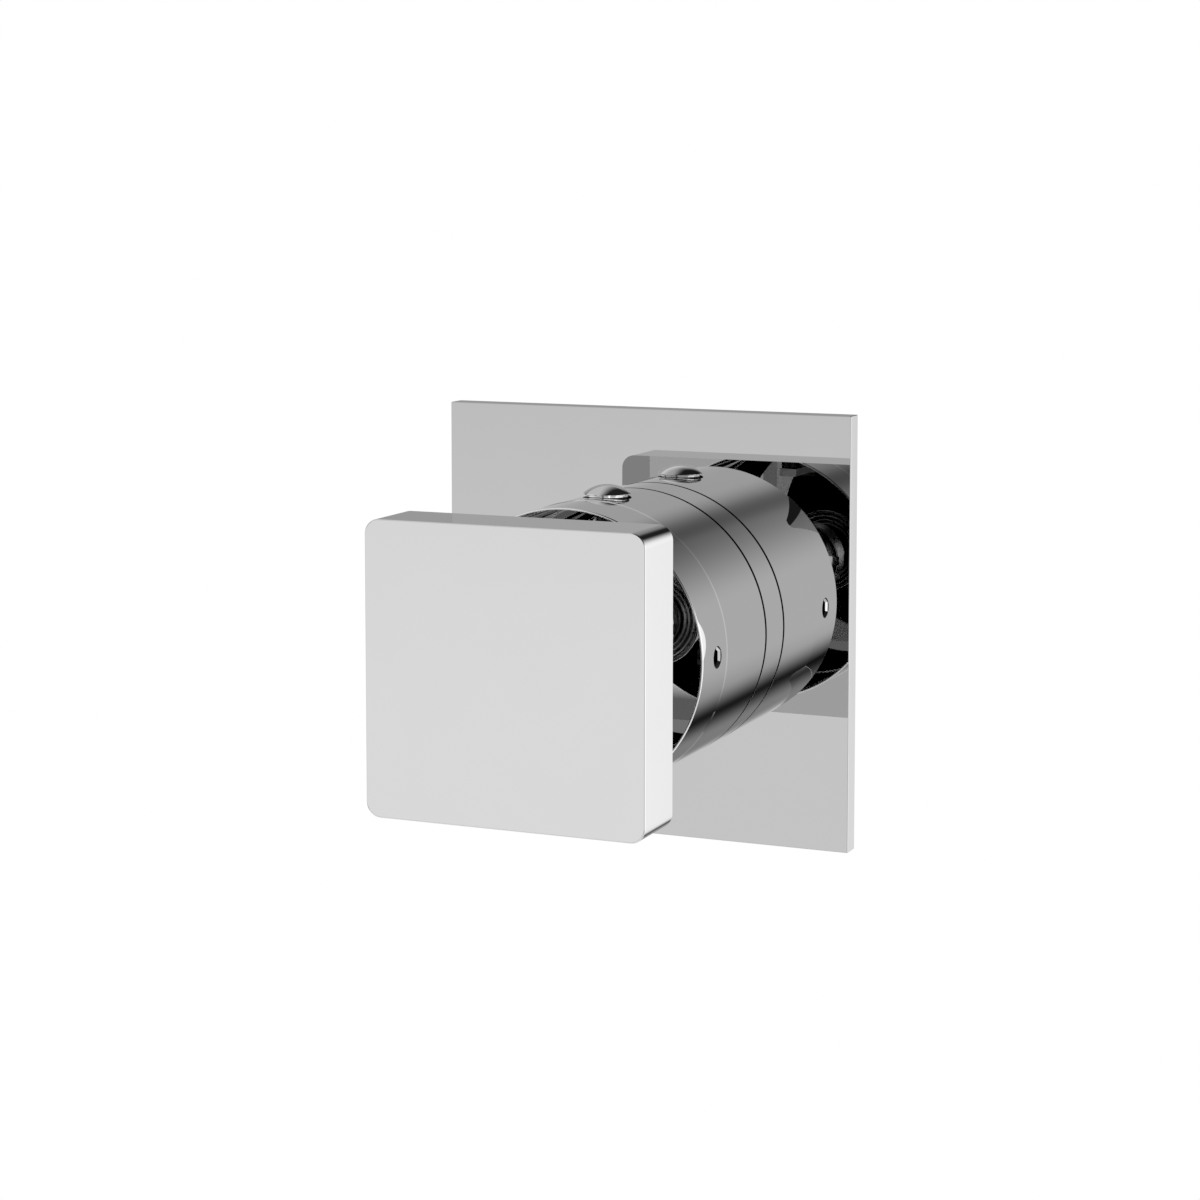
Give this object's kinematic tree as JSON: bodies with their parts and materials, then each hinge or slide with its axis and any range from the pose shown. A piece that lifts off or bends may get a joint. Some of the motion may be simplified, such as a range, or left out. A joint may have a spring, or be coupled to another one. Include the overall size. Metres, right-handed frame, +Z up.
{
  "type": "shower trim set",
  "caption": "Square wall plate with a round collar, a hollow turning drum with a domed safety button, and a square flow knob standing off its front.",
  "frame": {"origin": "centre of the valve neck's bore in the plane of the finished wall", "axes": "+X to the right seen from the front, +Y into the wall, +Z up"},
  "size_m": [0.1, 0.083, 0.1],
  "materials": {
    "chrome": "polished chrome plate on brass",
    "steel": "plain stainless steel",
    "brass": "machined brass",
    "rubber": "black rubber",
    "foam": "closed-cell foam",
    "nylon": "moulded nylon"
  },
  "bodies": {
    "base": {"wall_plate": "chrome", "plate_gasket": "foam", "mount_bush": "brass", "back_nut": "brass", "plate_oring": "rubber", "collar": "chrome", "stop_ring": "nylon", "stop_screws": "steel", "bearing_ring": "nylon"},
    "drum": {"drum_sleeve": "chrome", "drum_ring": "chrome", "fixing_tab": "steel", "set_screw": "steel", "temp_hub": "brass", "hub_screws": "steel", "spline_insert": "steel", "stem_nut": "steel", "button_guide": "steel", "button_spring": "steel"},
    "button": {"button_cap": "chrome", "button_stem": "steel", "latch_arm": "steel", "button_clip": "steel"},
    "knob": {"flow_spindle": "brass", "tube_bush": "steel", "knob_tube": "chrome", "knob_shell": "chrome", "knob_back": "chrome", "flange_screws": "steel", "knob_set_screw": "steel"}
  },
  "joints": [
    {"name": "temperature_turn", "type": "hinge", "parent": "base", "child": "drum", "pos_m": [0, 0, 0], "axis": [0, -1, 0], "range_deg": [-150, 0]},
    {"name": "flow_turn", "type": "hinge", "parent": "base", "child": "knob", "pos_m": [0, 0, 0], "axis": [0, -1, 0], "range_deg": [0, 90]},
    {"name": "button_press", "type": "slide", "parent": "drum", "child": "button", "axis": [0, 0, -1], "range_m": [0, 0.0013], "stiffness_N_per_m": 1200, "springref_m": -0.001, "deforming": ["button_spring"]}
  ]
}
